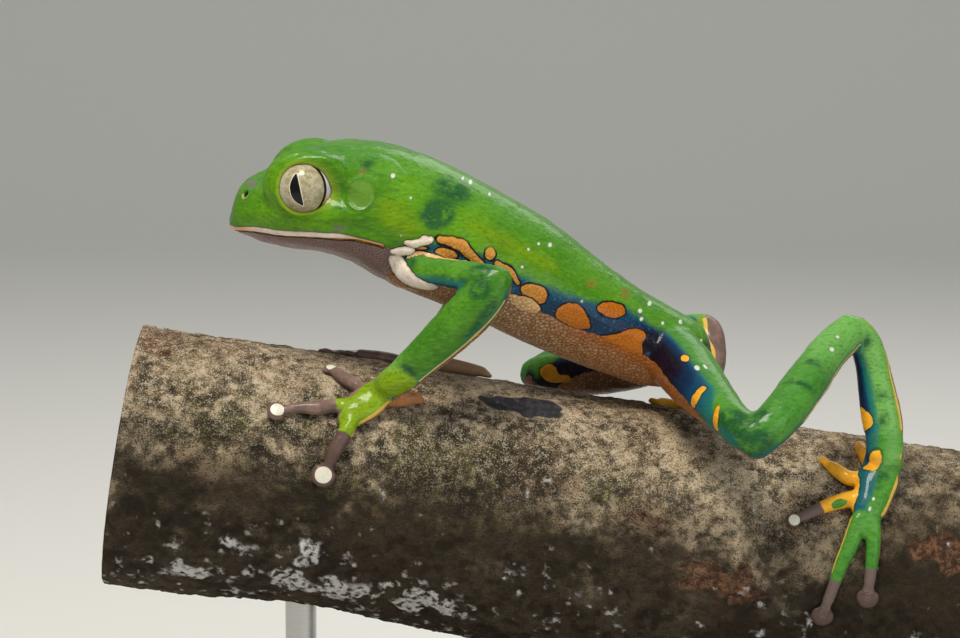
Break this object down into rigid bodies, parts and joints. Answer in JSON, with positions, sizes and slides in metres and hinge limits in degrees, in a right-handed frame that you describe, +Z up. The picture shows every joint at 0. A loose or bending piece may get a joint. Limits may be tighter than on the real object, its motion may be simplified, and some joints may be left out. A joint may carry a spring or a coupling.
{
  "type": "bahia monkey frog model on a branch perch",
  "caption": "Life-size still frog with a green back and orange-spotted flanks, gripping a cut length of branch held by two rods on a flat base.",
  "frame": {"origin": "centre of the underside of the flat base, which rests on the floor", "axes": "+X from the frog's snout to its vent, along the perch; +Z up; -Y is the frog's left side, which the picture shows"},
  "size_m": [0.1429, 0.066, 0.1137],
  "materials": {
    "frog_skin": "moist, finely grained frog skin: green back, blue and orange flank, tan granular belly",
    "digit_skin": "soft mauve-brown to green skin of fingers and toes with round pale discs",
    "eye": "glossy silvery-cream iris with an upright black pupil",
    "bark": "rough tan-grey bark with brown and lichen patches, sawn ends",
    "base_wood": "dark stained oak, satin lacquer",
    "rod_steel": "brushed round steel rod"
  },
  "bodies": {
    "root": {"head": "frog_skin", "torso": "frog_skin", "upper_arm_left": "frog_skin", "upper_arm_right": "frog_skin", "forearm_left": "frog_skin", "forearm_right": "frog_skin", "hand_left": "frog_skin", "hand_right": "frog_skin", "finger_1_left": "digit_skin", "finger_2_left": "digit_skin", "finger_3_left": "digit_skin", "finger_4_left": "digit_skin", "finger_1_right": "digit_skin", "finger_2_right": "digit_skin", "finger_3_right": "digit_skin", "finger_4_right": "digit_skin", "thigh_left": "frog_skin", "thigh_right": "frog_skin", "shank_left": "frog_skin", "shank_right": "frog_skin", "tarsus_left": "frog_skin", "tarsus_right": "frog_skin", "foot_left": "frog_skin", "foot_right": "frog_skin", "toe_1_left": "digit_skin", "toe_2_left": "digit_skin", "toe_3_left": "digit_skin", "toe_4_left": "digit_skin", "toe_5_left": "digit_skin", "toe_1_right": "digit_skin", "toe_2_right": "digit_skin", "toe_3_right": "digit_skin", "toe_4_right": "digit_skin", "toe_5_right": "digit_skin", "eye_left": "eye", "eye_right": "eye", "branch": "bark", "stand_base": "base_wood", "stand_rod_front": "rod_steel", "stand_rod_rear": "rod_steel"}
  },
  "joints": []
}
